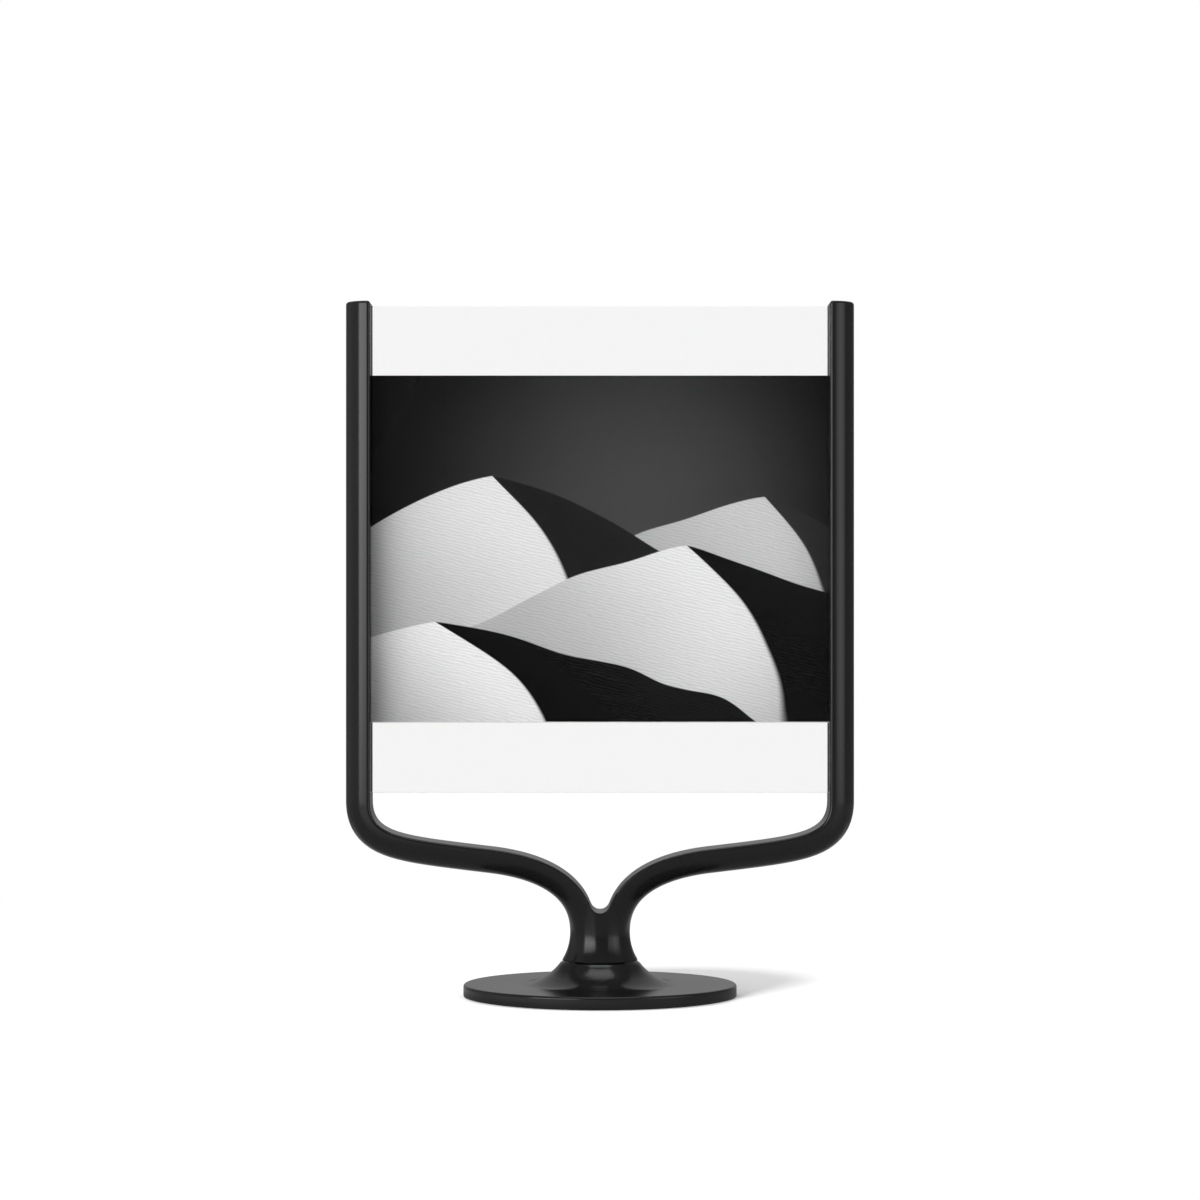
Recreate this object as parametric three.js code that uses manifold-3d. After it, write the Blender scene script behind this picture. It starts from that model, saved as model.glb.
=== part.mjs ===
// Rotating photo frame: a round cast foot carries a yoke on an upright pivot. The yoke's round neck divides
// into two half-round arms, like a bar split down the middle, and a pack of two clear panes with two prints
// between them drops into slots down the arms' flat inner faces. The yoke turns freely on the foot.
// Millimetres, +Z up. The origin is the middle of the footprint, the front faces -Y, the arms lie along X.
import * as THREE from "three";
import { mergeVertices } from "three/addons/utils/BufferGeometryUtils.js";
import Module from "manifold-3d";

// Prints and panes: the print is a standard 5 x 7 inch sheet, and the square pane takes it either way up.
const PRINT_LONG = 177.8;
const PRINT_SHORT = 127;
const PRINT_THICK = 0.25;
const PANE_MARGIN = 0.1; // the pane's edge past the print's long side
const PANE_THICK = 2;

// Foot: a turned-looking casting with a hub that flares into the yoke's neck.
const FOOT_R = 50;
const FOOT_TOP_Z = 4.9;
const FOOT_EDGE_R = 0.9;
const FOOT_RIM_Z = 0.45; // the pad holds the metal rim clear of the table
const FOOT_RIM_CHAMFER = 0.4;
const HUB_TOP_Z = 13;
const HUB_CHAMFER = 0.35;
const PAD_R = 47.5;
const PAD_THICK = 1.6;
const SPANNER_POCKET_R = 11;

// Neck and arms.
const WAIST_R = 10.95;
const WAIST_Z = 23.8;
const NECK_EDGE = 0.3; // bevel round the neck's lower edge
const CROTCH_R = 3.6; // round of the saddle where the neck divides
const ARM_THICK = 9.3;
const ARM_DEPTH = 20;
const ARM_EDGE_R = 1.05; // where an arm's flat meets its round back
const ARM_END_R = 1; // round at the top end of an arm
const SLOT_GRIP = 5.3; // how far a pane's edge sits in its slot
const SLOT_LAND = 3.1; // height of the slot's floor over the end of the corner bend
const ARM_OVER = 1.3; // how far an arm stands over the pane

// The arm's flat follows two bends that meet at the flattest point of the run. A pull is how far a bend
// holds its direction at that end, as the handle of a drawn curve does.
const RUN_SLOPE = THREE.MathUtils.degToRad(6.8);
const RUN_MID_Z = 54.85;
const RUN_MID_INSET = 42; // from the arm's flat in to the flattest point
const CORNER_END_Z = 71.8;
const NECK_PULL = 27;
const RUN_PULL_NECK = 8;
const RUN_PULL_CORNER = 33;
const CORNER_PULL = 12;

// Pivot: a stud in the neck turns in two flanged bushes, and a lock nut sets the drag over a wave washer.
const JOURNAL_R = 4;
const THREAD_R = 3;
const STUD_GRIP = 12; // length of thread in the neck
const STUD_TIP = 0.4; // thread that stands out of the nut
const BUSH_WALL = 1.5;
const BUSH_FLANGE_R = 9;
const BUSH_FLANGE_THICK = 1;
const WASHER_R = 7;
const WASHER_THICK = 1;
const WAVE_R = 6.6;
const WAVE_SHEET = 0.4;
const WAVE_HEIGHT = 0.9;
const WAVE_COUNT = 3;
const NUT_FLAT_R = 5; // half of the size across the flats
const NUT_HEIGHT = 3.9;
const NUT_COLLAR = 1.1; // the round end that holds the locking ring

// Clearances.
const PARTING_GAP = 0.5; // shadow line between hub and neck
const RUN_GAP = 0.1; // between what turns and what stands still
const PRESS_GAP = 0.05; // round a pressed or screwed fit
const SEAT_GAP = 0.05; // between faces that lie on each other
const BORE_GAP = 0.2; // round a washer's hole, a flange and the stud's ends
const PAD_GAP = 0.3;
const SLOT_GAP = 0.2;

// How finely round forms are cut into facets.
const FOOT_STEPS = 72;
const PIVOT_STEPS = 40;
const FLARE_STEPS = 10;
const RIM_STEPS = 4;
const NECK_STEPS = 4; // from the waist up to the saddle
const SADDLE_STEPS = 7;
const BEND_STEPS = 16;
const SECTION_STEPS = 18;
const EDGE_STEPS = 3;
const WAVE_STEPS = 16; // to each wave
const SEARCH_STEPS = 50; // halvings and thirdings that find a place on a bend
const ON_PLANE = 1e-4; // points this near the middle plane lie on it, so that both halves meet there

// Heights and places that follow from the sizes above.
const pane = PRINT_LONG + 2 * PANE_MARGIN;
const packThick = 2 * (PANE_THICK + PRINT_THICK) + 3 * SEAT_GAP;
const armInnerX = pane / 2 - SLOT_GRIP;
const slotFloorZ = CORNER_END_Z + SLOT_LAND;
const paneZ = slotFloorZ + SEAT_GAP;
const armTopZ = paneZ + pane + ARM_OVER;
const flareR = WAIST_Z - FOOT_TOP_Z;
const neckZ = HUB_TOP_Z + PARTING_GAP;
const studEndZ = PAD_THICK + BORE_GAP;
const nutZ = studEndZ + STUD_TIP;
const waveZ = nutZ + NUT_HEIGHT + SEAT_GAP;
const washerZ = waveZ + WAVE_HEIGHT + SEAT_GAP;
const lowerFlangeZ = washerZ + WASHER_THICK + RUN_GAP;
const webBottomZ = lowerFlangeZ + BUSH_FLANGE_THICK;
const upperFlangeTopZ = neckZ - RUN_GAP;
const webTopZ = upperFlangeTopZ - BUSH_FLANGE_THICK;
const bushR = JOURNAL_R + RUN_GAP + BUSH_WALL;

const wasm = await Module();
wasm.setup();

// Keeps positions only, merges shared vertices and drops the facets that close up at a pole or a point.
function welded(geometry) {
  const bare = new THREE.BufferGeometry().setAttribute("position", geometry.getAttribute("position"));
  if (geometry.index) bare.setIndex(geometry.index);
  const merged = mergeVertices(bare, 1e-4);
  const corners = merged.index.array;
  const kept = [];
  for (let i = 0; i < corners.length; i += 3) {
    const [a, b, c] = corners.slice(i, i + 3);
    if (a !== b && b !== c && c !== a) kept.push(a, b, c);
  }
  return merged.setIndex(kept);
}

function solid(geometry) {
  const { attributes, index } = welded(geometry);
  return new wasm.Manifold(
    new wasm.Mesh({
      numProp: 3,
      vertProperties: new Float32Array(attributes.position.array),
      triVerts: new Uint32Array(index.array),
    }),
  );
}

function geometryOf(body) {
  const mesh = body.getMesh();
  return new THREE.BufferGeometry()
    .setAttribute("position", new THREE.BufferAttribute(mesh.vertProperties, 3))
    .setIndex(new THREE.BufferAttribute(mesh.triVerts, 1));
}

// Turns a closed outline of [radius, height] pairs, listed anticlockwise with the radius to the right.
function turned(outline, steps) {
  const points = outline.map(([r, z]) => new THREE.Vector2(r, z));
  points.push(points[0].clone());
  return welded(new THREE.LatheGeometry(points, steps)).rotateX(Math.PI / 2);
}

// A plain ring or, with no inner radius, a disc.
function ring(inner, outer, low, high, steps = PIVOT_STEPS) {
  const outline = [[inner, low], [outer, low], [outer, high], [inner, high]];
  return turned(outline, steps);
}

// Points of an arc in an outline, from one angle to another in degrees.
function arc(x, y, radius, from, to, steps) {
  return Array.from({ length: steps + 1 }, (_, i) => {
    const angle = THREE.MathUtils.degToRad(from + ((to - from) * i) / steps);
    return [x + radius * Math.cos(angle), y + radius * Math.sin(angle)];
  });
}

function box(low, high) {
  const size = high.map((v, i) => v - low[i]);
  const middle = high.map((v, i) => (v + low[i]) / 2);
  return new THREE.BoxGeometry(...size).translate(...middle);
}

// Radius of the one sweep that runs from the waist down into the top of the foot.
function flareAt(z) {
  const drop = WAIST_Z - z;
  return WAIST_R + flareR - Math.sqrt(flareR ** 2 - drop ** 2);
}

// Foot

function footGeometry() {
  const hubTopR = flareAt(HUB_TOP_Z);
  const chamferZ = HUB_TOP_Z - HUB_CHAMFER;
  const flareX = WAIST_R + flareR;
  const flareStart = THREE.MathUtils.radToDeg(Math.asin((WAIST_Z - chamferZ) / flareR));
  const flare = arc(flareX, WAIST_Z, flareR, 180 + flareStart, 270, FLARE_STEPS);
  const edge = arc(FOOT_R - FOOT_EDGE_R, FOOT_TOP_Z - FOOT_EDGE_R, FOOT_EDGE_R, 90, 0, RIM_STEPS);
  const recessR = PAD_R + PAD_GAP;
  const boreR = bushR + PRESS_GAP;
  const counterboreR = BUSH_FLANGE_R + BORE_GAP;
  const clockwise = [
    [SPANNER_POCKET_R, PAD_THICK],
    [SPANNER_POCKET_R, webBottomZ],
    [boreR, webBottomZ],
    [boreR, webTopZ],
    [counterboreR, webTopZ],
    [counterboreR, HUB_TOP_Z],
    [hubTopR - HUB_CHAMFER, HUB_TOP_Z],
    ...flare,
    ...edge,
    [FOOT_R, FOOT_RIM_Z + FOOT_RIM_CHAMFER],
    [FOOT_R - FOOT_RIM_CHAMFER, FOOT_RIM_Z],
    [recessR, FOOT_RIM_Z],
    [recessR, PAD_THICK],
  ];
  return turned(clockwise.reverse(), FOOT_STEPS);
}

function padGeometry() {
  return ring(0, PAD_R, 0, PAD_THICK, FOOT_STEPS);
}

// Pivot

// A flanged bush. Its sleeve points up or down from the face of the web that its flange lies on.
function bushGeometry(faceZ, up) {
  const boreR = JOURNAL_R + RUN_GAP;
  const sleeve = (webTopZ - webBottomZ - BORE_GAP) / 2;
  const outline = [
    [boreR, -BUSH_FLANGE_THICK],
    [BUSH_FLANGE_R, -BUSH_FLANGE_THICK],
    [BUSH_FLANGE_R, 0],
    [bushR, 0],
    [bushR, sleeve],
    [boreR, sleeve],
  ];
  const bush = turned(outline, PIVOT_STEPS);
  if (!up) bush.rotateX(Math.PI);
  return bush.translate(0, 0, faceZ);
}

function studGeometry() {
  const journalZ = lowerFlangeZ + BORE_GAP;
  const topZ = neckZ + STUD_GRIP;
  const outline = [
    [0, studEndZ],
    [THREAD_R - STUD_TIP, studEndZ],
    [THREAD_R, studEndZ + STUD_TIP],
    [THREAD_R, journalZ],
    [JOURNAL_R, journalZ],
    [JOURNAL_R, neckZ],
    [THREAD_R, neckZ],
    [THREAD_R, topZ - STUD_TIP],
    [THREAD_R - STUD_TIP, topZ],
    [0, topZ],
  ];
  return turned(outline, PIVOT_STEPS);
}

// A sheet ring pressed into waves, which touches what lies above and below it at its crests.
function waveGeometry() {
  const innerR = THREAD_R + BORE_GAP;
  const swing = (WAVE_HEIGHT - WAVE_SHEET) / 2;
  const flat = ring(innerR, WAVE_R, 0, WAVE_SHEET, WAVE_COUNT * WAVE_STEPS);
  const place = flat.getAttribute("position");
  for (let i = 0; i < place.count; i++) {
    const turn = Math.atan2(place.getY(i), place.getX(i));
    place.setZ(i, place.getZ(i) + waveZ + swing * (1 + Math.cos(WAVE_COUNT * turn)));
  }
  return flat;
}

function nutGeometry() {
  const cornerR = NUT_FLAT_R / Math.cos(Math.PI / 6);
  const hexagon = new THREE.Shape(
    Array.from({ length: 6 }, (_, i) => {
      const angle = (i * Math.PI) / 3;
      return new THREE.Vector2(cornerR * Math.cos(angle), cornerR * Math.sin(angle));
    }),
  );
  const bar = new THREE.ExtrudeGeometry(hexagon, { depth: NUT_HEIGHT, bevelEnabled: false });
  const bevel = cornerR - NUT_FLAT_R;
  const boreR = THREAD_R + PRESS_GAP;
  const rounded = turned(
    [
      [boreR, 0],
      [NUT_FLAT_R - bevel, 0],
      [NUT_FLAT_R - bevel, NUT_COLLAR],
      [cornerR, NUT_COLLAR],
      [cornerR, NUT_HEIGHT - bevel / 2],
      [NUT_FLAT_R, NUT_HEIGHT],
      [boreR, NUT_HEIGHT],
    ],
    PIVOT_STEPS,
  );
  return geometryOf(solid(bar).intersect(solid(rounded))).translate(0, 0, nutZ);
}

// Yoke

const neckOffset = WAIST_R - ARM_THICK; // the arm's flat lies this far from the axis at the waist
const runMid = new THREE.Vector2(armInnerX - RUN_MID_INSET, RUN_MID_Z);
const runWay = new THREE.Vector2(Math.cos(RUN_SLOPE), Math.sin(RUN_SLOPE));
const neckBend = new THREE.CubicBezierCurve(
  new THREE.Vector2(neckOffset, WAIST_Z),
  new THREE.Vector2(neckOffset, WAIST_Z + NECK_PULL),
  runMid.clone().addScaledVector(runWay, -RUN_PULL_NECK),
  runMid,
);
const cornerBend = new THREE.CubicBezierCurve(
  runMid,
  runMid.clone().addScaledVector(runWay, RUN_PULL_CORNER),
  new THREE.Vector2(armInnerX, CORNER_END_Z - CORNER_PULL),
  new THREE.Vector2(armInnerX, CORNER_END_Z),
);

// Where along the neck bend a point of the saddle belongs: at its nearest place on the bend.
function nearestOnNeckBend(point) {
  let low = 0;
  let high = 1;
  for (let i = 0; i < SEARCH_STEPS; i++) {
    const a = low + (high - low) / 3;
    const b = high - (high - low) / 3;
    const aIsNearer = neckBend.getPoint(a).distanceTo(point) < neckBend.getPoint(b).distanceTo(point);
    if (aIsNearer) high = b;
    else low = a;
  }
  return (low + high) / 2;
}

// Height of the saddle's centre on the axis, where its round just touches both arms' flats.
function saddleCentreZ() {
  let low = WAIST_Z;
  let high = RUN_MID_Z;
  for (let i = 0; i < SEARCH_STEPS; i++) {
    const centre = new THREE.Vector2(0, (low + high) / 2);
    const reach = neckBend.getPoint(nearestOnNeckBend(centre)).distanceTo(centre);
    if (reach < CROTCH_R) low = centre.y;
    else high = centre.y;
  }
  return (low + high) / 2;
}

// One cut across the yoke. Its place is a point of the arm's flat with the way out to the arm's round back.
// The back is an ellipse whose centre lies inside the flat by centreIn. The cut is closed by a flat which
// lies inside the arm's flat by flatIn, with edges of edgeR. Points run from the front edge round the back.
function crossSection({ place, out, thick, halfDepth, centreIn, flatIn, edgeR }) {
  const acrossR = thick + centreIn - edgeR;
  const alongR = halfDepth - edgeR;
  const start = Math.asin((edgeR + centreIn - flatIn) / acrossR);
  const startWay = new THREE.Vector2(Math.sin(start) / acrossR, -Math.cos(start) / alongR).angle();
  const points = [];
  const add = (turn, way) => {
    const n = acrossR * Math.sin(turn) - centreIn + edgeR * Math.cos(way);
    const y = -alongR * Math.cos(turn) + edgeR * Math.sin(way);
    const x = place.x + out.x * n;
    points.push(new THREE.Vector3(Math.abs(x) < ON_PLANE ? 0 : x, y, place.y + out.y * n));
  };
  for (let i = 0; i < EDGE_STEPS; i++) {
    add(start, Math.PI + ((startWay - Math.PI) * i) / EDGE_STEPS);
  }
  for (let i = 0; i <= SECTION_STEPS; i++) {
    const turn = start + ((Math.PI - 2 * start) * i) / SECTION_STEPS;
    add(turn, new THREE.Vector2(Math.sin(turn) / acrossR, -Math.cos(turn) / alongR).angle());
  }
  for (let i = 1; i <= EDGE_STEPS; i++) {
    const endWay = 2 * Math.PI - startWay;
    add(Math.PI - start, endWay + ((Math.PI - endWay) * i) / EDGE_STEPS);
  }
  return points;
}

// The cuts of one half of the yoke, from the neck's underside up to the end of the arm.
function yokeCuts() {
  const cuts = [];
  const outward = new THREE.Vector2(1, 0);
  const round = (z, radius) =>
    cuts.push(
      crossSection({
        place: new THREE.Vector2(0, z),
        out: outward,
        thick: radius,
        halfDepth: radius,
        centreIn: 0,
        flatIn: 0,
        edgeR: 0,
      }),
    );
  round(neckZ, flareAt(neckZ) - NECK_EDGE);
  const flareZ = neckZ + NECK_EDGE;
  for (let i = 0; i <= FLARE_STEPS; i++) {
    const z = THREE.MathUtils.lerp(flareZ, WAIST_Z, i / FLARE_STEPS);
    round(z, flareAt(z));
  }

  // Along the bends the round neck becomes the half-round arm: its centre moves out to the flat.
  const bent = (bend, u, flatIn, edgeR) => {
    const way = bend.getTangent(u);
    const left = bend === neckBend ? 1 - THREE.MathUtils.smoothstep(u, 0, 1) : 0;
    cuts.push(
      crossSection({
        place: bend.getPoint(u),
        out: new THREE.Vector2(way.y, -way.x),
        thick: ARM_THICK,
        halfDepth: THREE.MathUtils.lerp(ARM_DEPTH / 2, WAIST_R, left),
        centreIn: neckOffset * left,
        flatIn,
        edgeR,
      }),
    );
  };
  const saddle = new THREE.Vector2(0, saddleCentreZ());
  const throughInner = (point, edgeR) => {
    const u = nearestOnNeckBend(point);
    bent(neckBend, u, neckBend.getPoint(u).distanceTo(point), edgeR);
  };
  const crotchZ = saddle.y - CROTCH_R;
  for (let i = 1; i <= NECK_STEPS; i++) {
    throughInner(new THREE.Vector2(0, THREE.MathUtils.lerp(WAIST_Z, crotchZ, i / NECK_STEPS)), 0);
  }
  const touchU = nearestOnNeckBend(saddle);
  const touch = neckBend.getPoint(touchU).sub(saddle);
  const saddleTurn = Math.atan2(touch.y, touch.x) + Math.PI / 2;
  for (let i = 1; i < SADDLE_STEPS; i++) {
    const share = i / SADDLE_STEPS;
    const turn = -Math.PI / 2 + saddleTurn * share;
    const point = new THREE.Vector2(Math.cos(turn), Math.sin(turn)).multiplyScalar(CROTCH_R).add(saddle);
    throughInner(point, ARM_EDGE_R * share);
  }
  for (let i = 0; i < BEND_STEPS; i++) {
    bent(neckBend, THREE.MathUtils.lerp(touchU, 1, i / BEND_STEPS), 0, ARM_EDGE_R);
  }
  for (let i = 0; i <= BEND_STEPS; i++) bent(cornerBend, i / BEND_STEPS, 0, ARM_EDGE_R);

  // The arm's end closes in over its small round.
  for (const [over, up] of arc(0, 0, ARM_END_R, 0, 90, EDGE_STEPS)) {
    const inset = ARM_END_R - over;
    cuts.push(
      crossSection({
        place: new THREE.Vector2(armInnerX, armTopZ - ARM_END_R + up),
        out: outward,
        thick: ARM_THICK - inset,
        halfDepth: ARM_DEPTH / 2 - inset,
        centreIn: 0,
        flatIn: -inset,
        edgeR: Math.max(ARM_EDGE_R - inset, 0),
      }),
    );
  }
  return cuts;
}

// Skins a row of cuts with equal counts of points and closes both ends.
function lofted(cuts) {
  const count = cuts[0].length;
  const corners = [];
  for (let k = 0; k + 1 < cuts.length; k++) {
    for (let i = 0; i < count; i++) {
      const next = (i + 1) % count;
      const [a, b] = [k * count + i, k * count + next];
      corners.push(a, b, b + count, a, b + count, a + count);
    }
  }
  const last = (cuts.length - 1) * count;
  for (let i = 1; i + 1 < count; i++) {
    corners.push(0, i + 1, i, last, last + i, last + i + 1);
  }
  return new THREE.BufferGeometry().setFromPoints(cuts.flat()).setIndex(corners);
}

function yokeGeometry() {
  const right = yokeCuts();
  const left = right.map((cut) => cut.map((p) => new THREE.Vector3(-p.x, p.y, p.z)).reverse());
  let body = solid(lofted(right)).add(solid(lofted(left)));
  const slotHalf = packThick / 2 + SLOT_GAP;
  const slotX = pane / 2 + SLOT_GAP;
  for (const side of [1, -1]) {
    const xs = [side * armInnerX - side * SLOT_GRIP, side * slotX].sort((a, b) => a - b);
    const slot = box([xs[0], -slotHalf, slotFloorZ], [xs[1], slotHalf, armTopZ + ARM_OVER]);
    body = body.subtract(solid(slot));
  }
  const boreR = THREAD_R + PRESS_GAP;
  const bore = turned(
    [
      [0, neckZ - PARTING_GAP],
      [boreR, neckZ - PARTING_GAP],
      [boreR, neckZ + STUD_GRIP + BORE_GAP],
      [0, neckZ + STUD_GRIP + BORE_GAP + boreR / 2],
    ],
    PIVOT_STEPS,
  );
  return geometryOf(body.subtract(solid(bore)));
}

// Pack of panes and prints, back to back about the middle plane

function paneGeometry(frontY) {
  return box([-pane / 2, frontY, paneZ], [pane / 2, frontY + PANE_THICK, paneZ + pane]);
}

function printGeometry(frontY) {
  const middleZ = paneZ + pane / 2;
  return box(
    [-PRINT_LONG / 2, frontY, middleZ - PRINT_SHORT / 2],
    [PRINT_LONG / 2, frontY + PRINT_THICK, middleZ + PRINT_SHORT / 2],
  );
}

// Materials and assembly

const satinBlack = new THREE.MeshStandardMaterial({ color: 0x1d1d1e, roughness: 0.42, metalness: 0 });
const darkRubber = new THREE.MeshStandardMaterial({ color: 0x151515, roughness: 0.9 });
const blackAcetal = new THREE.MeshStandardMaterial({ color: 0x1b1b1b, roughness: 0.5 });
const steel = new THREE.MeshStandardMaterial({ color: 0xa9abad, roughness: 0.35, metalness: 1 });
const clearAcrylic = new THREE.MeshPhysicalMaterial({ color: 0xf6f8f8, roughness: 0.05, transmission: 1 });
const photoPaper = new THREE.MeshStandardMaterial({ color: 0x4a4a4a, roughness: 0.5 });

const photoFrame = new THREE.Group();

function place(name, geometry, material) {
  const mesh = new THREE.Mesh(geometry, material);
  mesh.name = name;
  photoFrame.add(mesh);
}

place("base_disc", footGeometry(), satinBlack);
place("base_pad", padGeometry(), darkRubber);
place("lower_bush", bushGeometry(webBottomZ, true), blackAcetal);
place("upper_bush", bushGeometry(webTopZ, false), blackAcetal);
place("yoke", yokeGeometry(), satinBlack);
place("pivot_stud", studGeometry(), steel);
place("flat_washer", ring(THREAD_R + BORE_GAP, WASHER_R, washerZ, washerZ + WASHER_THICK), steel);
place("wave_washer", waveGeometry(), steel);
place("lock_nut", nutGeometry(), steel);

let sheetY = -packThick / 2;
place("front_pane", paneGeometry(sheetY), clearAcrylic);
sheetY += PANE_THICK + SEAT_GAP;
place("front_print", printGeometry(sheetY), photoPaper);
sheetY += PRINT_THICK + SEAT_GAP;
place("rear_print", printGeometry(sheetY), photoPaper);
sheetY += PRINT_THICK + SEAT_GAP;
place("rear_pane", paneGeometry(sheetY), clearAcrylic);

export default photoFrame;
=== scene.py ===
import math

import bmesh
import bpy
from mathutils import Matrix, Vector


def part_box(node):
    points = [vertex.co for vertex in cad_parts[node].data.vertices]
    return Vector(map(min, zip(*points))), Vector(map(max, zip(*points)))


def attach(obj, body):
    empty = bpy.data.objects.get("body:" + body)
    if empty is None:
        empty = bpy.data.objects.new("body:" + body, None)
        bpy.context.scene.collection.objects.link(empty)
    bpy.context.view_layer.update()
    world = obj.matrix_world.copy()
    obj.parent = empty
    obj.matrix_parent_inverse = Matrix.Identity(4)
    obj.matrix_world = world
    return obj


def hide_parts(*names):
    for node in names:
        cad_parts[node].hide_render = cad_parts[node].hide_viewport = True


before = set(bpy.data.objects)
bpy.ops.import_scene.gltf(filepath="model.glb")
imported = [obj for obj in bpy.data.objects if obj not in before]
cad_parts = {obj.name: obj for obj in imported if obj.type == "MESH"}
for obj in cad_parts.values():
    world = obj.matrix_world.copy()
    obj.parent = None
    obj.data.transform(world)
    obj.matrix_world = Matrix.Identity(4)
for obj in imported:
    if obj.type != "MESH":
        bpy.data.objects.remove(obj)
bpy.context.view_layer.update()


# Foot: a round casting with a hub that sweeps up towards the yoke's neck. It is turned on its outside,
# bored for the bushes, recessed below for the pad, and coated satin black with the yoke.

MM = 0.001  # pieces are modelled in millimetres and scaled to metres when they are finished
MERGE = 0.001  # what lies closer than this is one point
SMOOTH_ANGLE = 32  # degrees up to which faces that meet are shaded as one
FOOT_STEPS = 192


def box_of(node):
    """Lowest and highest corner of a CAD node, in millimetres."""
    return [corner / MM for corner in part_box(node)]


def arc(x, z, radius, start, end, steps):
    """Points of an arc in an outline, from one angle to another in degrees."""
    turns = [math.radians(start + (end - start) * i / steps) for i in range(steps + 1)]
    return [(x + radius * math.cos(a), z + radius * math.sin(a)) for a in turns]


def turned(name, outline, steps):
    """A body of revolution about Z, from a closed outline of (radius, height) points."""
    bpy.ops.object.select_all(action="DESELECT")
    bpy.ops.mesh.primitive_circle_add(vertices=len(outline), radius=1)
    piece = bpy.context.object
    piece.name = piece.data.name = name
    for vertex, (radius, height) in zip(piece.data.vertices, outline):
        vertex.co = (radius, 0, height)
    bpy.ops.object.mode_set(mode="EDIT")
    bpy.ops.mesh.select_all(action="SELECT")
    bpy.ops.mesh.spin(steps=steps, angle=math.tau, center=(0, 0, 0), axis=(0, 0, 1))
    close_up()
    return piece


def close_up():
    """Merges what meets in the mesh under edit, turns its faces outwards and leaves edit mode."""
    bpy.ops.mesh.select_all(action="SELECT")
    bpy.ops.mesh.remove_doubles(threshold=MERGE)
    bpy.ops.mesh.delete_loose()
    bpy.ops.mesh.select_all(action="SELECT")
    bpy.ops.mesh.normals_make_consistent(inside=False)
    bpy.ops.object.mode_set(mode="OBJECT")


def apply_modifier(piece, kind, **settings):
    modifier = piece.modifiers.new(kind.title(), kind)
    for name, value in settings.items():
        setattr(modifier, name, value)
    bpy.ops.object.modifier_apply(modifier=modifier.name)


def finish_piece(piece, body, node, slot, *materials):
    """Scales a piece from millimetres, smooths its shading and sets it in place of its CAD node."""
    piece.location *= MM
    piece.scale *= MM
    bpy.ops.object.transform_apply(location=True, rotation=True, scale=True)
    bpy.ops.object.shade_smooth_by_angle(angle=math.radians(SMOOTH_ANGLE))
    apply_modifier(piece, "WEIGHTED_NORMAL", keep_sharp=True, weight=80)
    for material in materials:
        piece.data.materials.append(material)
    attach(piece, body)
    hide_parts(node)


def add_node(tree, kind, feeds=None, **settings):
    """Adds a shader node. feeds gives its inputs by name or number: a socket is linked, a value is set."""
    node = tree.nodes.new("ShaderNode" + kind)
    for name, value in settings.items():
        setattr(node, name, value)
    for key, value in (feeds or {}).items():
        if isinstance(value, bpy.types.NodeSocket):
            tree.links.new(value, node.inputs[key])
        else:
            node.inputs[key].default_value = value
    return node


def new_group(name, inputs, outputs):
    """A shader node group with float inputs {name: default} and outputs {name: socket type}."""
    tree = bpy.data.node_groups.new(name, "ShaderNodeTree")
    for label, default in inputs.items():
        socket = tree.interface.new_socket(label, in_out="INPUT", socket_type="NodeSocketFloat")
        socket.default_value = default
    for label, kind in outputs.items():
        tree.interface.new_socket(label, in_out="OUTPUT", socket_type=kind)
    return tree, tree.nodes.new("NodeGroupInput").outputs, tree.nodes.new("NodeGroupOutput").inputs


def new_material(name):
    material = bpy.data.materials.new(name)
    material.use_nodes = True
    material.node_tree.nodes.clear()
    return material, material.node_tree


def grain_group():
    """Skin of a coat or moulding: slow drift of tone and gloss, soft peel and a fine grain."""
    tree, given, result = new_group(
        "surface_grain",
        {"Peel Scale": 900, "Grain Scale": 5200, "Drift Scale": 45, "Grain Share": 0.4},
        {"Height": "NodeSocketFloat", "Drift": "NodeSocketFloat", "Grain": "NodeSocketFloat"},
    )
    place = add_node(tree, "TexCoord").outputs["Object"]

    def noise(scale, detail):
        feeds = {"Vector": place, "Scale": scale, "Detail": detail}
        return add_node(tree, "TexNoise", feeds).outputs["Fac"]

    peel, grain = noise(given["Peel Scale"], 1), noise(given["Grain Scale"], 2)
    height = add_node(tree, "Mix", {0: given["Grain Share"], 2: peel, 3: grain})
    tree.links.new(height.outputs[0], result["Height"])
    tree.links.new(noise(given["Drift Scale"], 3), result["Drift"])
    tree.links.new(grain, result["Grain"])
    return tree


surface_grain = grain_group()


def blend_values(tree, factor, low, high):
    return add_node(tree, "MapRange", {"Value": factor, "To Min": low, "To Max": high}).outputs[0]


def blend_colours(tree, factor, low, high):
    node = add_node(tree, "Mix", {0: factor, 6: (*low, 1), 7: (*high, 1)}, data_type="RGBA")
    return node.outputs[2]


def grained_material(name, dark, light, rough, bump, scales, **shine):
    """A Principled material over surface_grain, from rough's least to its greatest roughness.

    bump is the strength and the depth in metres of its relief, and shine more of the shader's values.
    """
    material, tree = new_material(name)
    skin = add_node(tree, "Group", scales, node_tree=surface_grain).outputs
    strength, depth = bump
    lift = add_node(tree, "Bump", {"Height": skin["Height"], "Strength": strength, "Distance": depth})
    feeds = {
        "Base Color": blend_colours(tree, skin["Drift"], dark, light),
        "Roughness": blend_values(tree, skin["Drift"], *rough),
        "Normal": lift.outputs[0],
        **shine,
    }
    surface = add_node(tree, "BsdfPrincipled", feeds)
    add_node(tree, "OutputMaterial", {"Surface": surface.outputs[0]})
    return material


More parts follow.
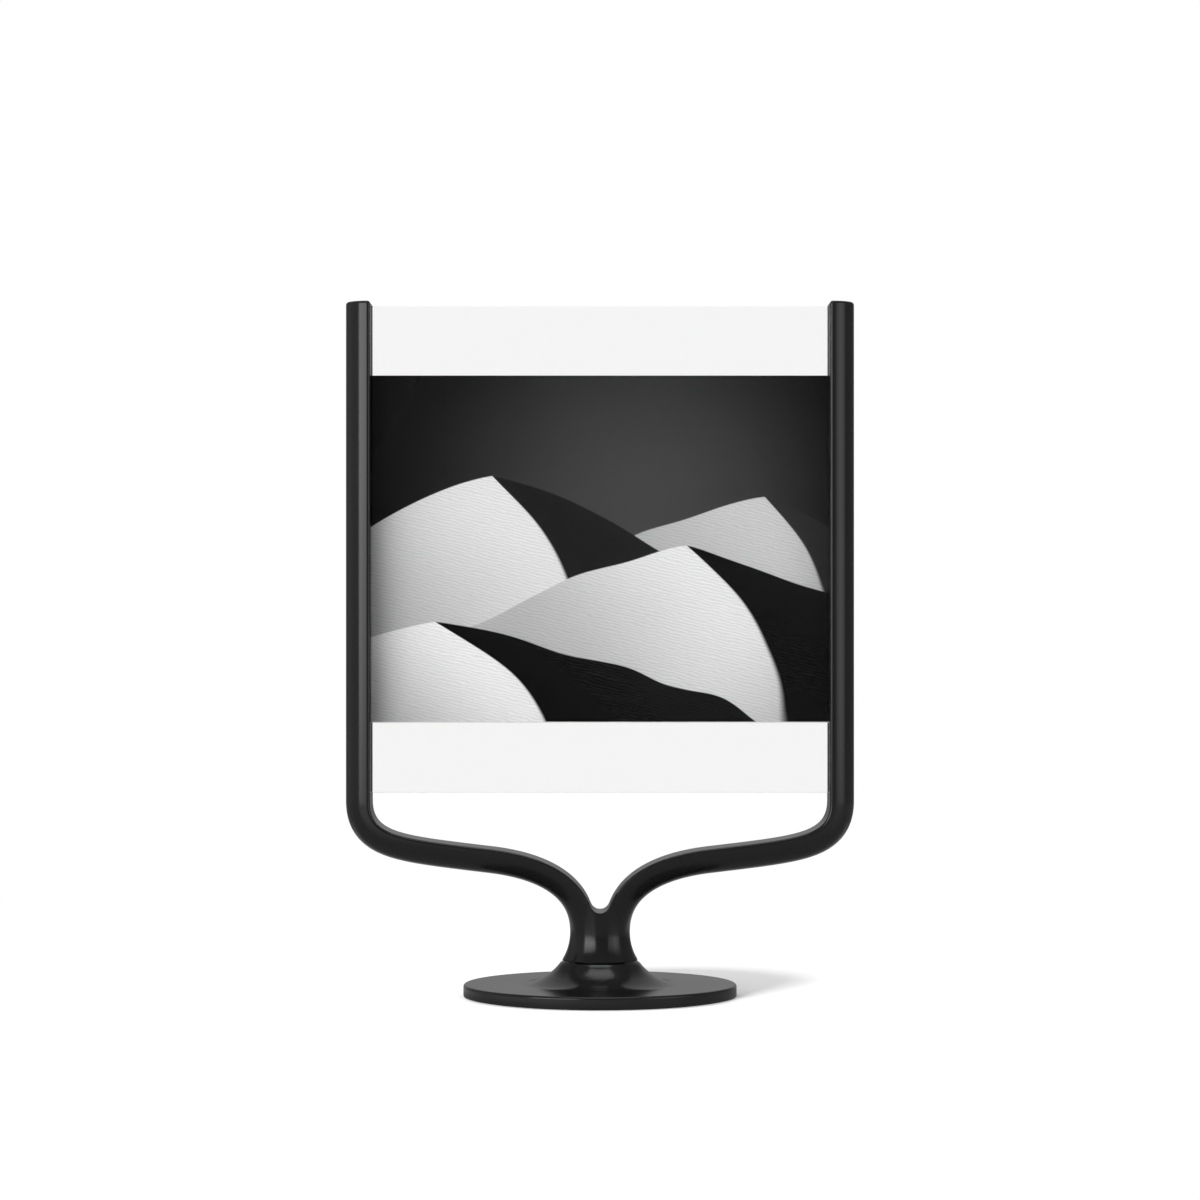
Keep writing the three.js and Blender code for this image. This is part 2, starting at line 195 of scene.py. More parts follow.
satin_coat = grained_material(
    "satin_black_coat",
    dark=(0.0076, 0.0076, 0.0079),
    light=(0.0100, 0.0100, 0.0103),
    rough=(0.15, 0.20),
    bump=(0.10, 0.00002),
    scales={"Peel Scale": 700, "Grain Scale": 5200, "Drift Scale": 45, "Grain Share": 0.4},
)

foot_low, foot_high = box_of("base_disc")
foot_r, rim_low, hub_top = foot_high.x, foot_low.z, foot_high.z
foot_top, foot_edge_r = 4.9, 0.9
rim_edge_r, hub_edge_r = 0.4, 0.35
waist_r, waist_z = 10.95, 23.8
flare_r = waist_z - foot_top

pad_r, _, pad_thick = box_of("base_pad")[1]
pad_gap, pocket_r = 0.3, 11
press_gap, loose_gap = 0.05, 0.2
bush_r, flange_r, flange_thick = 5.6, box_of("upper_bush")[1].x, 1
lower_seat = box_of("lower_bush")[0].z + flange_thick
upper_seat = box_of("upper_bush")[1].z - flange_thick


def flare_at(z):
    """Radius of the one sweep that runs from the neck's waist down into the top of the foot."""
    return waist_r + flare_r - math.sqrt(flare_r**2 - (waist_z - z) ** 2)


# The flare's arc starts this many degrees below the waist, one degree under the hub's rounded edge.
flare_start = math.degrees(math.asin((waist_z - hub_top + hub_edge_r) / flare_r)) + 1
foot = turned(
    "foot",
    [
        (pocket_r, pad_thick),
        (pocket_r, lower_seat),
        (bush_r + press_gap, lower_seat),
        (bush_r + press_gap, upper_seat),
        (flange_r + loose_gap, upper_seat),
        (flange_r + loose_gap, hub_top),
        *arc(flare_at(hub_top) - hub_edge_r, hub_top - hub_edge_r, hub_edge_r, 90, 40, steps=5),
        *arc(waist_r + flare_r, waist_z, flare_r, 180 + flare_start, 270, steps=40),
        *arc(foot_r - foot_edge_r, foot_top - foot_edge_r, foot_edge_r, 90, 0, steps=10),
        *arc(foot_r - rim_edge_r, rim_low + rim_edge_r, rim_edge_r, 0, -90, steps=5),
        (pad_r + pad_gap, rim_low),
        (pad_r + pad_gap, pad_thick),
    ],
    FOOT_STEPS,
)
finish_piece(foot, "base", "base_disc", "satin_black_coat", satin_coat)


# Pad: a disc of fine-cell foam sheet, punched out with a slightly crushed edge and glued into the foot's
# recess, where it covers the nut's pocket and keeps the metal rim off the table.

pad_edge_r = 0.5
pad = turned(
    "pad",
    [
        (0, 0),
        *arc(pad_r - pad_edge_r, pad_edge_r, pad_edge_r, -90, 0, steps=6),
        *arc(pad_r - pad_edge_r, pad_thick - pad_edge_r, pad_edge_r, 0, 90, steps=6),
        (0, pad_thick),
    ],
    FOOT_STEPS,
)
pad_foam = grained_material(
    "pad_foam",
    dark=(0.010, 0.010, 0.010),
    light=(0.022, 0.022, 0.022),
    rough=(0.80, 0.95),
    bump=(0.8, 0.0003),
    scales={"Peel Scale": 1600, "Grain Scale": 3800, "Drift Scale": 400, "Grain Share": 0.6},
)
finish_piece(pad, "base", "base_pad", "pad_foam", pad_foam)


# Bushes: two flanged sleeves of black acetal, turned from rod and pressed into the hub from both ends.
# The upper flange carries the neck, and its edge is what shows in the parting line.

acetal = grained_material(
    "black_acetal",
    dark=(0.016, 0.016, 0.016),
    light=(0.022, 0.022, 0.023),
    rough=(0.40, 0.50),
    bump=(0.2, 0.00002),
    scales={"Peel Scale": 1200, "Grain Scale": 6000, "Drift Scale": 120, "Grain Share": 0.5},
)

PIVOT_STEPS = 96
journal_r, run_gap = 4, 0.1
bush_bore, bush_chamfer, lead_in = journal_r + run_gap, 0.2, 0.35
face_r, back_r = 0.25, 0.15
for node in ("lower_bush", "upper_bush"):
    low, high = (corner.z for corner in box_of(node))
    outline = [
        (bush_bore + bush_chamfer, low),
        *arc(flange_r - face_r, low + face_r, face_r, -90, 0, steps=4),
        *arc(flange_r - back_r, low + flange_thick - back_r, back_r, 0, 90, steps=3),
        (bush_r, low + flange_thick),
        (bush_r, high - lead_in),
        (bush_r - bush_chamfer, high),
        (bush_bore + bush_chamfer, high),
        (bush_bore, high - bush_chamfer),
        (bush_bore, low + bush_chamfer),
    ]
    if node == "upper_bush":
        outline = [(radius, low + high - z) for radius, z in outline]
    bush = turned(node + "_sleeve", outline, PIVOT_STEPS)
    finish_piece(bush, "base", node, "black_acetal", acetal)


# Pivot: a threaded steel stud screwed up into the neck and held down under the hub by a flat washer, a wave
# washer and a lock nut with a collar. All are turned or pressed and have a bright zinc plate.

zinc = grained_material(
    "zinc_steel",
    dark=(0.50, 0.51, 0.52),
    light=(0.64, 0.65, 0.66),
    rough=(0.24, 0.40),
    bump=(0.25, 0.00002),
    scales={"Peel Scale": 1500, "Grain Scale": 6000, "Drift Scale": 260, "Grain Share": 0.5},
    Metallic=1.0,
)

thread_r, thread_depth, pitch = 3, 0.5, 1
neck_low = box_of("yoke")[0].z
journal_low, journal_high, journal_chamfer = 8.4, neck_low, 0.25
POINTS_A_TURN = 10


def spread(start, end, steps):
    return [start + (end - start) * i / steps for i in range(1, steps + 1)]


def thread_points(low, high):
    """Points up a thread, close enough for its crests and roots."""
    return [(thread_r, z) for z in (low, *spread(low, high, round(POINTS_A_TURN * (high - low) / pitch)))]


low, high = (corner.z for corner in box_of("pivot_stud"))
stud = turned(
    "pivot_stud_bar",
    [
        (0, low),
        (thread_r - thread_depth, low),
        *thread_points(low + thread_depth, journal_low),
        (journal_r - journal_chamfer, journal_low),
        (journal_r, journal_low + journal_chamfer),
        (journal_r, journal_high - journal_chamfer),
        (journal_r - journal_chamfer, journal_high),
        *thread_points(journal_high, high - thread_depth),
        (thread_r - thread_depth, high),
        (0, high),
    ],
    PIVOT_STEPS // 2,
)

# The helix is cut into the plain bar, and runs out in the last turn before the journal.
for vertex in stud.data.vertices:
    x, y, z = vertex.co
    if abs(math.hypot(x, y) - thread_r) < MERGE:
        turn = (z / pitch - math.atan2(y, x) / math.tau) % 1
        run_out = min(abs(z - journal_low), abs(z - journal_high), pitch) / pitch
        left = 1 - thread_depth * run_out * (1 - abs(2 * turn - 1)) / thread_r
        vertex.co = (x * left, y * left, z)
finish_piece(stud, "yoke", "pivot_stud", "zinc_steel", zinc)

washer_bore = thread_r + loose_gap


def pressed_ring(name, outer, low, high, edge_r):
    """A ring punched from sheet to slip over the thread, with rounded edges."""
    outline = [
        *arc(outer - edge_r, low + edge_r, edge_r, -90, 0, steps=4),
        *arc(outer - edge_r, high - edge_r, edge_r, 0, 90, steps=4),
        *arc(washer_bore + edge_r, high - edge_r, edge_r, 90, 180, steps=4),
        *arc(washer_bore + edge_r, low + edge_r, edge_r, 180, 270, steps=4),
    ]
    return turned(name, outline, PIVOT_STEPS)


low, high = box_of("flat_washer")
washer = pressed_ring("flat_washer_ring", high.x, low.z, high.z, edge_r=0.15)
finish_piece(washer, "yoke", "flat_washer", "zinc_steel", zinc)

wave_sheet, waves = 0.4, 3
low, high = box_of("wave_washer")
wave_height = high.z - low.z - wave_sheet
wave_ring = pressed_ring("wave_washer_ring", high.x, low.z, low.z + wave_sheet, edge_r=0.12)
for vertex in wave_ring.data.vertices:
    turn = math.atan2(vertex.co.y, vertex.co.x)
    vertex.co.z += wave_height / 2 * (1 + math.cos(waves * turn))
finish_piece(wave_ring, "yoke", "wave_washer", "zinc_steel", zinc)

# The nut is a turned blank whose sides are then cut to six flats.
nut_low, nut_high = box_of("lock_nut")
low, high = nut_low.z, nut_high.z
nut_flat_r, nut_bore, bore_chamfer = nut_high.y, thread_r + press_gap, 0.2
nut_corner_r = nut_flat_r / math.cos(math.pi / 6)
collar_r, collar_edge_r, collar_high = 4.2, 0.5, 1.1
hex_low = low + collar_high
face_inset, face_bevel = 0.15, 0.45
nut_face_r = nut_flat_r - face_inset
lower_edge = [
    (nut_face_r + (nut_corner_r - nut_face_r) * t, hex_low + face_bevel * t)
    for t in (0, *spread(0, 1, steps=6))
]
nut = turned(
    "lock_nut_body",
    [
        (nut_bore, low + bore_chamfer),
        (nut_bore + bore_chamfer, low),
        *arc(collar_r - collar_edge_r, low + collar_edge_r, collar_edge_r, -90, 0, steps=6),
        (collar_r, hex_low),
        *lower_edge,
        *((radius, hex_low + high - z) for radius, z in reversed(lower_edge)),
        (nut_bore + bore_chamfer, high),
        (nut_bore, high - bore_chamfer),
    ],
    PIVOT_STEPS,
)
for vertex in nut.data.vertices:
    x, y, z = vertex.co
    turn = math.atan2(y, x) % (math.pi / 3) - math.pi / 6
    left = min(nut_flat_r / math.cos(turn) / math.hypot(x, y), 1)
    vertex.co = (x * left, y * left, z)
finish_piece(nut, "yoke", "lock_nut", "zinc_steel", zinc)


# Yoke: one casting. Its round neck divides into two half-round arms, flat inside and round outside, which
# run out, turn up and carry the panes in slots down their flats. One quarter is modelled and mirrored.

arm_outer, _, arm_top = box_of("yoke")[1]
arm_thick, arm_half_depth = 9.3, 10
arm_inner = arm_outer - arm_thick
edge_r, end_r = 1.05, 1.0
neck_chamfer = 0.3
stud_hole_r, stud_hole_top = thread_r + press_gap, box_of("pivot_stud")[1].z + loose_gap

pane_low, pane_high = box_of("front_pane")
slot_gap, seat_gap, lip_r = 0.2, 0.05, 0.3
slot_half, slot_end, slot_floor = slot_gap - pane_low.y, pane_high.x + slot_gap, pane_low.z - seat_gap

# The flat follows two drawn curves, given as (x, z), that meet at the flattest point of the run.
run_slope = math.radians(6.8)
run_mid_inset, run_mid_z, corner_end_z = 42, 54.85, 71.8
neck_pull, run_pull_neck, run_pull_corner, corner_pull = 27, 8, 33, 12
run_way = Vector((math.cos(run_slope), math.sin(run_slope)))
run_mid = Vector((arm_inner - run_mid_inset, run_mid_z))
neck_offset = waist_r - arm_thick
neck_bend = (
    Vector((neck_offset, waist_z)),
    Vector((neck_offset, waist_z + neck_pull)),
    run_mid - run_pull_neck * run_way,
    run_mid,
)
corner_bend = (
    run_mid,
    run_mid + run_pull_corner * run_way,
    Vector((arm_inner, corner_end_z - corner_pull)),
    Vector((arm_inner, corner_end_z)),
)
SEARCH_STEPS = 40


def on_bend(bend, u):
    a, b, c, d = bend
    v = 1 - u
    return v**3 * a + 3 * v * v * u * b + 3 * v * u * u * c + u**3 * d


def way_out(bend, u):
    """The way from the flat to the casting's round back, square to a bend."""
    a, b, c, d = bend
    v = 1 - u
    way = (v * v * (b - a) + 2 * v * u * (c - b) + u * u * (d - c)).normalized()
    return Vector((way.y, -way.x))


def cut_at(bend, u):
    """Place, way out and sizes of the cut across the casting at one point of a bend."""
    left = 1 - u * u * (3 - 2 * u) if bend is neck_bend else 0
    centre_in = neck_offset * left
    half_depth = arm_half_depth + (waist_r - arm_half_depth) * left
    return on_bend(bend, u), way_out(bend, u), arm_thick + centre_in, half_depth, centre_in


def on_cut(cut, turn):
    """Point of the casting's round back on a cut, turn being 0 at its front and a right angle outside."""
    place, out, across, half_depth, centre_in = cut
    flat = place + out * (across * math.sin(turn) - centre_in)
    return Vector((max(flat.x, 0), -half_depth * math.cos(turn), flat.y))


def cut_through(point):
    """The cut of the neck bend that holds this (x, z) point, and the point's turn on it."""
    low, high = 0, 1
    for _ in range(SEARCH_STEPS):
        third = (high - low) / 3
        gap_low = (on_bend(neck_bend, low + third) - point).length
        gap_high = (on_bend(neck_bend, high - third) - point).length
        low, high = (low, high - third) if gap_low < gap_high else (low + third, high)
    cut = place, out, across, _, centre_in = cut_at(neck_bend, low)
    return cut, math.asin(((point - place).dot(out) + centre_in) / across)


SEAM_COLUMNS, BACK_COLUMNS = 6, 20
NECK_ROWS, SEAM_ROWS, BAND_ROWS, RUN_ROWS, CORNER_ROWS, ARM_ROWS = 18, 4, 7, 36, 40, 8
first_back, corner_turn = math.radians(8), math.radians(16)


def back_turns(turn):
    """Turns of the columns from the edge round to the outside, with room beside the edge for its round."""
    first = turn + first_back
    return [turn, first, *spread(first, math.pi / 2, BACK_COLUMNS - 1)]


def full_row(cut, start):
    """A row right round to the middle plane, where the cut's turn is start."""
    seam = [start + (corner_turn - start) * j / SEAM_COLUMNS for j in range(SEAM_COLUMNS)]
    return [on_cut(cut, turn) for turn in seam + back_turns(corner_turn)]


neck_face_r, flare_low = flare_at(neck_low) - neck_chamfer, neck_low + neck_chamfer
rings = [(neck_low, neck_face_r)]
for z in [flare_low, *spread(flare_low, waist_z, NECK_ROWS)]:
    rings.append((z, flare_at(z)))
rows = []
for z, radius in rings:
    cut = Vector((0, z)), Vector((1, 0)), radius, radius, 0
    rows.append(full_row(cut, 0))
seam_low = 26.6
for z in spread(waist_z, seam_low, SEAM_ROWS):
    rows.append(full_row(*cut_through(Vector((0, z)))))

# The crotch is a saddle. The round across it is centred on the middle plane and touches each flat at
# crotch_u on the neck bend, where its own turn is touch_turn.
crotch_r, crotch_edge_r = 3.6, 0.4
crotch_centre, crotch_u, touch_turn = Vector((0, 35.0252)), 0.13931, math.radians(-20.72)

# Below it the rows of the neck's front rise to meet that round.
below = [Vector((p.x, p.z)) for p in rows[-1][: SEAM_COLUMNS + 1]]
saddle = []
for turn in (-math.pi / 2, *spread(-math.pi / 2, touch_turn, SEAM_COLUMNS)):
    saddle.append(crotch_centre + crotch_r * Vector((math.cos(turn), math.sin(turn))))
saddle[0].x = 0
for t in spread(0, 1, BAND_ROWS):
    seam, edge = below[0].lerp(saddle[0], t), below[-1].lerp(saddle[-1], t)
    row = []
    for j in range(SEAM_COLUMNS):
        s = j / SEAM_COLUMNS
        corners = below[0].lerp(below[-1], s).lerp(saddle[0].lerp(saddle[-1], s), t)
        flat = below[j].lerp(saddle[j], t) + seam.lerp(edge, s) - corners
        row.append(on_cut(*cut_through(flat)))
    cut, turn = cut_through(edge)
    rows.append(row + [on_cut(cut, turn) for turn in back_turns(turn)])
crotch_row = len(rows) - 1

# Above it only the back of the arm goes on.
for bend, start, count in [(neck_bend, crotch_u, RUN_ROWS), (corner_bend, 0, CORNER_ROWS)]:
    for u in spread(start, 1, count):
        cut = _, _, across, _, centre_in = cut_at(bend, u)
        rows.append([on_cut(cut, turn) for turn in back_turns(math.asin(centre_in / across))])
for z in [slot_floor, *spread(slot_floor, arm_top, ARM_ROWS)]:
    rows.append([Vector((p.x, p.y, z)) for p in rows[-1]])

columns = SEAM_COLUMNS + BACK_COLUMNS + 1
bpy.ops.object.select_all(action="DESELECT")
bpy.ops.mesh.primitive_grid_add(x_subdivisions=columns - 1, y_subdivisions=len(rows) - 1, size=1)
yoke = bpy.context.object
yoke.name = yoke.data.name = "yoke_casting"
bpy.ops.object.mode_set(mode="EDIT")
skin = bmesh.from_edit_mesh(yoke.data)
skin.verts.ensure_lookup_table()
for k, row in enumerate(rows):
    for j, point in enumerate(reversed(row)):
        skin.verts[k * columns + columns - 1 - j].co = point
spare = [
    skin.verts[k * columns + j]
    for k in range(crotch_row + 1, len(rows))
    for j in range(SEAM_COLUMNS)
]
chain = [skin.verts[crotch_row * columns + j] for j in range(SEAM_COLUMNS)] + [
    skin.verts[k * columns + SEAM_COLUMNS] for k in range(crotch_row, len(rows))
]
bmesh.ops.delete(skin, geom=spare, context="VERTS")


def select_edges(test):
    """Selects just the edges of the mesh under edit whose two ends both pass a test of their place."""
    bpy.ops.mesh.select_all(action="DESELECT")
    mesh = bmesh.from_edit_mesh(bpy.context.object.data)
    mesh.select_mode = {"EDGE"}
    for edge in mesh.edges:
        edge.select_set(all(test(v.co) for v in edge.verts))
    mesh.select_flush_mode()
    bmesh.update_edit_mesh(bpy.context.object.data)


def pull_edges(move=(0, 0, 0), scale=None):
    """Extrudes the selected edges by a move, or in or out from the origin by a scale, and then a move."""
    bpy.ops.mesh.extrude_edges_move()
    if scale:
        bpy.ops.transform.resize(value=scale, center_override=(0, 0, 0))
    bpy.ops.transform.translate(value=move)


TOUCH = 0.002  # points this close to a plane of the casting lie on it


def near(a, b):
    return abs(a - b) < TOUCH


# The edge is drawn in to the slot's lip, below the slot on to the middle, and above it into the slot.
bpy.ops.mesh.select_all(action="DESELECT")
skin.select_mode = {"EDGE"}
for ends in zip(chain, chain[1:]):
    skin.edges.get(ends).select_set(True)
skin.select_flush_mode()
bmesh.update_edit_mesh(yoke.data)
pull_edges(scale=(1, 0, 1), move=(0, -slot_half, 0))
select_edges(lambda p: near(p.y, -slot_half) and p.z < slot_floor + TOUCH)
pull_edges(scale=(1, 0, 1))
select_edges(lambda p: near(p.y, -slot_half) and p.z > slot_floor - TOUCH)
pull_edges(move=(slot_end - arm_inner, 0, 0))
pull_edges(scale=(1, 0, 1))
select_edges(
    lambda p: near(p.z, slot_floor) and p.y > -slot_half - TOUCH and p.x < slot_end + TOUCH
)
bpy.ops.mesh.edge_face_add()
select_edges(lambda p: near(p.z, arm_top))
bpy.ops.mesh.edge_face_add()

# The neck's underside is faced flat and drilled for the stud.
select_edges(lambda p: near(p.z, neck_low))
inward = stud_hole_r / neck_face_r
pull_edges(scale=(inward, inward, 1))
pull_edges(move=(0, 0, stud_hole_top - neck_low))
pull_edges(scale=(0, 0, 1), move=(0, 0, stud_hole_r / 2))
bpy.ops.object.mode_set(mode="OBJECT")
apply_modifier(
    yoke, "MIRROR", use_axis=(True, True, False), use_mirror_merge=True, merge_threshold=TOUCH
)
bpy.ops.object.mode_set(mode="EDIT")
close_up()

# Long edges, ends and lips are rounded by their own amounts.
bpy.ops.object.mode_set(mode="EDIT")
skin = bmesh.from_edit_mesh(yoke.data)
weight = skin.edges.layers.float.new("bevel_weight_edge")
sharp_angle = math.radians(50)
rounds_low = neck_low + 5  # the neck's lower edges keep their chamfer
soft_low, soft_high = crotch_centre.y - crotch_r + 1, 46  # where the edge's round grows to its full size


def edge_round(edge):
    """Radius of the round on one sharp edge of the casting."""
    a, b = (v.co for v in edge.verts)
    if edge.calc_face_angle(0) < sharp_angle or max(a.z, b.z) < rounds_low:
        return 0
    if near(a.z, arm_top) and near(b.z, arm_top):
        return end_r
    if max(abs(a.y), abs(b.y)) < slot_half + TOUCH:
        return lip_r if max(abs(a.x), abs(b.x)) < arm_inner + TOUCH else 0
    share = min(max(((a.z + b.z) / 2 - soft_low) / (soft_high - soft_low), 0), 1)
    return crotch_edge_r + (edge_r - crotch_edge_r) * share


for edge in skin.edges:
    edge[weight] = edge_round(edge) / edge_r if len(edge.link_faces) == 2 else 0
bmesh.update_edit_mesh(yoke.data)
bpy.ops.object.mode_set(mode="OBJECT")
apply_modifier(
    yoke, "BEVEL", width=edge_r, segments=5, limit_method="WEIGHT", use_clamp_overlap=False
)
finish_piece(yoke, "yoke", "yoke", "satin_black_coat", satin_coat)


# Panes: two squares of clear cast acrylic, laser-cut and flame-polished on their edges, which stand in the
# slots with the prints between them.


def sheet(name, node, edge_r):
    """A flat sheet that fills its CAD node's box, with rounded edges."""
    low, high = box_of(node)
    bpy.ops.object.select_all(action="DESELECT")
    bpy.ops.mesh.primitive_cube_add(size=1, location=(low + high) / 2)
    piece = bpy.context.object
    piece.name = piece.data.name = name
    bpy.ops.object.mode_set(mode="EDIT")
    bpy.ops.mesh.select_all(action="SELECT")
    bpy.ops.transform.resize(value=high - low, center_override=(low + high) / 2)
    bpy.ops.mesh.bevel(offset=edge_r, segments=3, affect="EDGES")
    close_up()
    return piece


# The sheet mirrors and bends what is seen in it, but lamp light, as shadow rays, goes straight through.
acrylic, tree = new_material("clear_acrylic")
smudge = add_node(tree, "Group", {"Drift Scale": 30}, node_tree=surface_grain).outputs["Drift"]
glass = add_node(
    tree,
    "BsdfPrincipled",
    {
        "Base Color": (1.0, 1.0, 1.0, 1),
        "Roughness": blend_values(tree, smudge, 0.0, 0.012),
        "IOR": 1.49,
        "Transmission Weight": 1.0,
    },
)
shadow_ray = add_node(tree, "LightPath").outputs["Is Shadow Ray"]
through = add_node(tree, "BsdfTransparent", {"Color": (0.95, 0.955, 0.955, 1)})
pane_surface = add_node(tree, "MixShader", {0: shadow_ray, 1: glass.outputs[0], 2: through.outputs[0]})
add_node(tree, "OutputMaterial", {"Surface": pane_surface.outputs[0]})

# The cut edges are polished less finely than the faces, so they look milky and catch the light.
acrylic_edge = grained_material(
    "acrylic_edge",
    dark=(0.72, 0.75, 0.75),
    light=(0.82, 0.84, 0.84),
    rough=(0.25, 0.40),
    bump=(0.2, 0.00003),
    scales={"Peel Scale": 1400, "Grain Scale": 4200, "Drift Scale": 80, "Grain Share": 0.4},
)
FACES_OUT = 0.9  # least share of a normal that points to the front or back, on a sheet's faces
for node in ("front_pane", "rear_pane"):
    pane = sheet(node + "_sheet", node, edge_r=0.25)
    for face in pane.data.polygons:
        face.material_index = 0 if abs(face.normal.y) > FACES_OUT else 1
    finish_piece(pane, "photo_pack", node, "clear_acrylic", acrylic, acrylic_edge)


# Prints: two lustre photographic prints on white paper, trimmed to size and laid back to back. The front
# one shows dunes and the rear one ridges under a moon, both in black and white.


def maths(tree, operation, a, b=0.0, clamp=False):
    return add_node(tree, "Math", {0: a, 1: b}, operation=operation, use_clamp=clamp).outputs[0]


def step(tree, value, low, high, to_low=0.0, to_high=1.0):
    """Smooth step of a value from low to high."""
    feeds = {"Value": value, "From Min": low, "From Max": high, "To Min": to_low, "To Max": to_high}
    return add_node(tree, "MapRange", feeds, interpolation_type="SMOOTHSTEP").outputs[0]


def picture_plane(tree):
    """Across and up the picture, in halves of its height from its middle."""
    low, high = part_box("front_print")
    middle, half = (low + high) / 2, (high.z - low.z) / 2
    place = add_node(tree, "TexCoord").outputs["Object"]
    spot = add_node(
        tree,
        "Mapping",
        {"Vector": place, "Location": (0, 0, -middle.z / half), "Scale": (1 / half, 0, 1 / half)},
    )
    parts = add_node(tree, "SeparateXYZ", {0: spot.outputs[0]}).outputs
    return parts["X"], parts["Z"], spot.outputs[0]


OUTLINE_BLUR = 0.004  # half the width over which one shape of a picture gives way to the next


def dune_group():
    """One dune: a crest that falls away in an S from its peak, lit on its left and dark on its right."""
    tree, given, result = new_group(
        "dune",
        {
            "Across": 0,
            "Up": 0,
            "Peak Across": 0,
            "Peak Up": 0,
            "Left Fall": 0.3,
            "Right Fall": 0.5,
            "Lean": 0.4,
            "Sway": 0.15,
            "Bends": 3.5,
            "Seed": 0,
            "Haze": 0,
        },
        {"Inside": "NodeSocketFloat", "Tone": "NodeSocketFloat"},
    )
    across, up = given["Across"], given["Up"]
    spot = add_node(tree, "CombineXYZ", {0: across, 1: up, 2: given["Seed"]}).outputs[0]
    slow = add_node(tree, "TexNoise", {"Vector": spot, "Scale": 1.1, "Detail": 1}).outputs["Fac"]
    wander = step(tree, slow, 0.2, 0.8, -1, 1)
    aside = maths(tree, "SUBTRACT", across, given["Peak Across"])
    left = maths(tree, "MAXIMUM", maths(tree, "MULTIPLY", aside, -1.0), 0.0)
    right = maths(tree, "MAXIMUM", aside, 0.0)
    fall = maths(
        tree,
        "ADD",
        maths(tree, "MULTIPLY", maths(tree, "POWER", left, 1.35), given["Left Fall"]),
        maths(tree, "MULTIPLY", maths(tree, "POWER", right, 1.2), given["Right Fall"]),
    )
    skyline = maths(tree, "SUBTRACT", given["Peak Up"], fall)
    waver = maths(tree, "MULTIPLY", maths(tree, "MULTIPLY", wander, 0.07), aside)
    skyline = maths(tree, "ADD", skyline, waver)
    under = maths(tree, "SUBTRACT", skyline, up)
    tree.links.new(step(tree, under, -OUTLINE_BLUR, OUTLINE_BLUR), result["Inside"])
    depth = maths(tree, "MAXIMUM", maths(tree, "SUBTRACT", given["Peak Up"], up), 0.0)
    swing = maths(tree, "SINE", maths(tree, "MULTIPLY", depth, given["Bends"]))
    crest = maths(
        tree,
        "ADD",
        maths(tree, "MULTIPLY", depth, given["Lean"]),
        maths(tree, "MULTIPLY", swing, given["Sway"]),
    )
    stray = maths(tree, "MULTIPLY", maths(tree, "MULTIPLY", wander, 0.10), depth)
    crest = maths(tree, "ADD", crest, stray)
    side = maths(tree, "SUBTRACT", aside, crest)
    ripple_spot = add_node(
        tree,
        "Mapping",
        {"Vector": spot, "Rotation": (0, 0, 0.5), "Scale": (1, 2.2, 1)},
    )
    ripple = add_node(
        tree,
        "TexWave",
        {"Vector": ripple_spot.outputs[0], "Scale": 9, "Distortion": 5, "Detail": 2, "Detail Scale": 1.4},
        bands_direction="Y",
    ).outputs["Fac"]
    far_left = maths(tree, "MULTIPLY", side, -1.0)
    lit = step(tree, far_left, 0.0, 1.5, 0.94, 0.52)
    lit = maths(tree, "MULTIPLY", lit, step(tree, ripple, 0.0, 1.0, 0.90, 1.04))
    lit = maths(tree, "MULTIPLY", lit, step(tree, depth, 0.3, 1.6, 1.0, 0.72))
    shade = step(tree, side, 0.02, 0.9, 0.0015, 0.007)
    shade = maths(tree, "MULTIPLY", shade, step(tree, ripple, 0.0, 1.0, 0.7, 1.3))
    softness = maths(tree, "ADD", maths(tree, "MULTIPLY", depth, 0.02), OUTLINE_BLUR)
    lit_side = step(tree, maths(tree, "DIVIDE", side, softness), -1.0, 1.0, 1.0, 0.0)
    tone = add_node(tree, "Mix", {0: lit_side, 2: shade, 3: lit}).outputs[0]
    hazy = add_node(tree, "Mix", {0: given["Haze"], 2: tone, 3: 0.10}).outputs[0]
    tree.links.new(hazy, result["Tone"])
    return tree


dune = dune_group()


def print_grain(tree, spot, tone):
    """Film grain and a slight darkening to the corners."""
    grain = add_node(tree, "TexNoise", {"Vector": spot, "Scale": 260, "Detail": 1}).outputs["Fac"]
    tone = maths(tree, "MULTIPLY", tone, blend_values(tree, grain, 0.93, 1.07))
    reach = add_node(tree, "VectorMath", {0: spot}, operation="LENGTH").outputs["Value"]
    return maths(tree, "MULTIPLY", tone, step(tree, reach, 0.9, 1.9, 1.0, 0.62))


def paper_edges(tree, up, tone):
    """A hair of unprinted paper shows along the trimmed lower edge."""
    trimmed = step(tree, up, -0.9965, -0.9945, 1.0, 0.0)
    return add_node(tree, "Mix", {0: trimmed, 2: tone, 3: 0.74}).outputs[0]


def picture_material(name, paint):
    """A print's lustre face, with the picture that paint gives as grey tones."""
    material, tree = new_material(name)
    across, up, spot = picture_plane(tree)
    tone = paper_edges(tree, up, print_grain(tree, spot, paint(tree, across, up, spot)))
    colour = add_node(tree, "CombineColor", {0: tone, 1: tone, 2: tone})
    skin = add_node(tree, "Group", {"Peel Scale": 2600}, node_tree=surface_grain).outputs
    lift = add_node(tree, "Bump", {"Height": skin["Height"], "Strength": 0.04, "Distance": 0.00002})
    feeds = {
        "Base Color": colour.outputs[0],
        "Roughness": blend_values(tree, skin["Grain"], 0.22, 0.30),
        "Specular IOR Level": 0.15,
        "Normal": lift.outputs[0],
    }
    surface = add_node(tree, "BsdfPrincipled", feeds)
    add_node(tree, "OutputMaterial", {"Surface": surface.outputs[0]})
    return material


